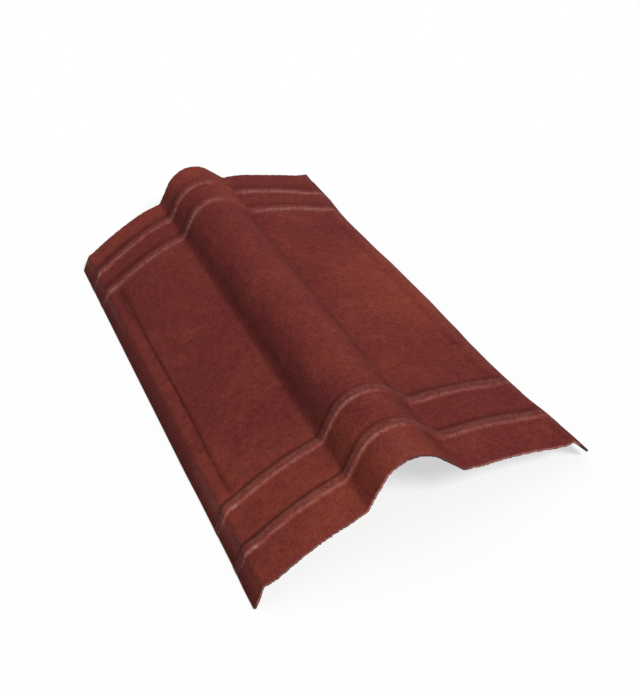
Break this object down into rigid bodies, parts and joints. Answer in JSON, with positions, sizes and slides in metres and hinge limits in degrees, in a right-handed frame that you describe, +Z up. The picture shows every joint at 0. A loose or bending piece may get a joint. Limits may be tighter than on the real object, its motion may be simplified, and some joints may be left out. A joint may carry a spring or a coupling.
{
  "type": "roof ridge cap",
  "caption": "Arched one-piece ridge cap with a round central roll, two wide wings, turned-down lips and raised cross ribs near both ends.",
  "frame": {"origin": "on the floor plane, under the middle of the sheet", "axes": "+Y along the ridge, +Z up through the crown, +X across to the right lip"},
  "size_m": [0.4908, 1, 0.1325],
  "materials": {
    "fibre_board": "matte brick red coating on a rough bituminous fibre board"
  },
  "bodies": {
    "root": {"ridge_cap": "fibre_board"}
  },
  "joints": []
}
